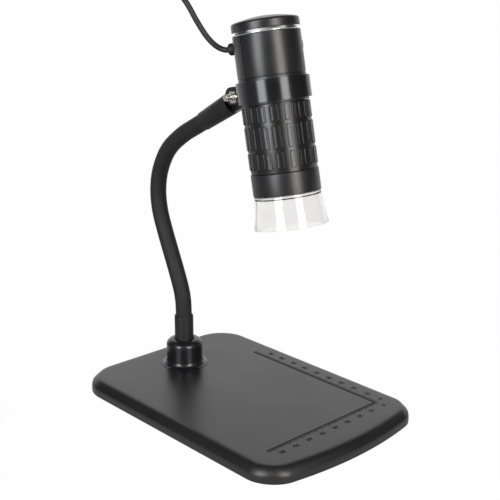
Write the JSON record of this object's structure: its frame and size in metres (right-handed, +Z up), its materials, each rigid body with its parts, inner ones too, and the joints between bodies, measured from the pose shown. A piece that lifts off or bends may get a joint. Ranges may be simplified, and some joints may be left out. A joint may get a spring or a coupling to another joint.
{
  "type": "USB digital microscope on a gooseneck stand",
  "caption": "Digital microscope held by a split ring clamp on a bendable neck over a flat ruled base, with a focus ring, a clear contact hood and a lead with a plug.",
  "frame": {"origin": "on the table under the middle of the base's bounding box, the cord left out", "axes": "+Z up, +X along the base towards its bowed front edge and the microscope, +Y across the base, away from the side where the cord is coiled"},
  "size_m": [0.1945, 0.2243, 0.2507],
  "materials": {
    "black_plastic": "satin black moulded plastic, a slight sheen",
    "gloss_black_plastic": "glossy black moulded plastic",
    "black_rubber": "matt black rubber-like sleeve",
    "foot_rubber": "matt dark rubber pad",
    "cable_rubber": "soft black cable jacket and moulding",
    "steel": "bright plated steel",
    "ballast_steel": "plain steel plate",
    "chrome": "mirror-like plated band",
    "clear_plastic": "clear polished plastic",
    "lens_glass": "coated lens glass",
    "green_board": "green circuit board with dark parts",
    "white_board": "white circuit board with clear-domed LEDs"
  },
  "bodies": {
    "stand": {"base_shell": "black_plastic", "base_bottom_cover": "black_plastic", "ballast_plate": "ballast_steel", "foot_1": "foot_rubber", "foot_2": "foot_rubber", "foot_3": "foot_rubber", "foot_4": "foot_rubber", "cover_screw_1": "steel", "cover_screw_2": "steel", "cover_screw_3": "steel", "cover_screw_4": "steel", "neck_collar": "gloss_black_plastic", "collar_nut": "steel", "neck_stud": "steel", "lower_sleeve": "black_rubber", "neck_link_1": "black_rubber", "usb_cable": "cable_rubber", "cable_coil": "cable_rubber", "usb_plug_body": "cable_rubber", "usb_plug_shell": "steel"},
    "neck_2": {"neck_link_2": "black_rubber"},
    "neck_3": {"neck_link_3": "black_rubber"},
    "neck_4": {"neck_link_4": "black_rubber"},
    "neck_5": {"neck_link_5": "black_rubber"},
    "neck_6": {"neck_link_6": "black_rubber"},
    "neck_7": {"neck_link_7": "black_rubber"},
    "neck_8": {"neck_link_8": "black_rubber", "upper_sleeve": "black_rubber", "neck_end_lug": "gloss_black_plastic"},
    "clamp": {"clamp_ring": "gloss_black_plastic", "clamp_bolt": "steel", "clamp_nut": "steel"},
    "microscope": {"top_cap": "black_plastic", "chrome_ring": "chrome", "barrel_front_shell": "black_plastic", "barrel_rear_cover": "black_plastic", "cable_grommet": "black_rubber", "dimmer_pot": "green_board", "main_board": "green_board", "sensor_board": "green_board", "inner_tube": "black_plastic", "front_ring": "black_plastic", "led_board": "white_board"},
    "focus": {"focus_ring": "black_plastic"},
    "lens": {"lens_carriage": "black_plastic", "objective_lens": "lens_glass"},
    "hood": {"clear_hood": "clear_plastic"},
    "button": {"snapshot_button": "gloss_black_plastic"},
    "wheel": {"dimmer_wheel": "black_rubber"}
  },
  "joints": [
    {"name": "neck_lower_bend", "type": "hinge", "parent": "stand", "child": "neck_2", "pos_m": [-0.05659, 0, 0.045], "axis": [0, 1, 0], "range_deg": [-10, 10], "deforming": ["usb_cable"]},
    {"name": "neck_side_bend", "type": "hinge", "parent": "neck_2", "child": "neck_3", "pos_m": [-0.06186, 0, 0.06498], "axis": [0.921, 0, 0.3897], "range_deg": [-10, 10], "deforming": ["usb_cable"]},
    {"name": "neck_lower_bend_middle", "type": "hinge", "parent": "neck_3", "child": "neck_4", "pos_m": [-0.07034, 0, 0.08399], "axis": [0, 1, 0], "range_deg": [-10, 10], "deforming": ["usb_cable"]},
    {"name": "neck_side_bend_middle", "type": "hinge", "parent": "neck_4", "child": "neck_5", "pos_m": [-0.0777, 0, 0.10343], "axis": [0.9777, 0, 0.21], "range_deg": [-10, 10], "deforming": ["usb_cable"]},
    {"name": "neck_upper_bend", "type": "hinge", "parent": "neck_5", "child": "neck_6", "pos_m": [-0.07737, 0, 0.12404], "axis": [0, 1, 0], "range_deg": [-10, 10], "deforming": ["usb_cable"]},
    {"name": "neck_side_bend_end", "type": "hinge", "parent": "neck_6", "child": "neck_7", "pos_m": [-0.06723, 0, 0.142], "axis": [0.726, 0, -0.6876], "range_deg": [-10, 10], "deforming": ["usb_cable"]},
    {"name": "neck_upper_bend_end", "type": "hinge", "parent": "neck_7", "child": "neck_8", "pos_m": [-0.05044, 0, 0.15421], "axis": [0, 1, 0], "range_deg": [-10, 10], "deforming": ["usb_cable"]},
    {"name": "clamp_tilt", "type": "hinge", "parent": "neck_8", "child": "clamp", "pos_m": [-0.00235, 0, 0.17985], "axis": [0, 1, 0], "range_deg": [-45, 35], "deforming": ["usb_cable"]},
    {"name": "microscope_turn", "type": "hinge", "parent": "clamp", "child": "microscope", "pos_m": [0.02143, 0, 0.18547], "axis": [-0.2011, 0, 0.9796], "range_deg": [-60, 60], "deforming": ["usb_cable"]},
    {"name": "focus_turn", "type": "hinge", "parent": "microscope", "child": "focus", "pos_m": [0.02631, 0, 0.16166], "axis": [-0.2011, 0, 0.9796], "range_deg": [-135, 135]},
    {"name": "lens_travel", "type": "slide", "parent": "microscope", "child": "lens", "axis": [-0.2011, 0, 0.9796], "range_m": [-0.003, 0.003]},
    {"name": "hood_slide", "type": "slide", "parent": "microscope", "child": "hood", "axis": [0.2011, 0, -0.9796], "range_m": [0, 0.003]},
    {"name": "button_press", "type": "slide", "parent": "microscope", "child": "button", "axis": [-0.414, -0.9063, -0.085], "range_m": [0, 0.0007], "stiffness_N_per_m": 600},
    {"name": "dimmer_turn", "type": "hinge", "parent": "microscope", "child": "wheel", "pos_m": [0.02416, 0.01106, 0.19777], "axis": [-0.2011, 0, 0.9796], "range_deg": [-135, 135]}
  ],
  "couplings": [
    {"joint": "neck_lower_bend_middle", "follows": "neck_lower_bend", "ratio": 1},
    {"joint": "neck_side_bend_middle", "follows": "neck_side_bend", "ratio": 1},
    {"joint": "neck_side_bend_end", "follows": "neck_side_bend", "ratio": 1},
    {"joint": "neck_upper_bend_end", "follows": "neck_upper_bend", "ratio": 1},
    {"joint": "lens_travel", "follows": "focus_turn", "m_per_rad": 0.001273}
  ]
}
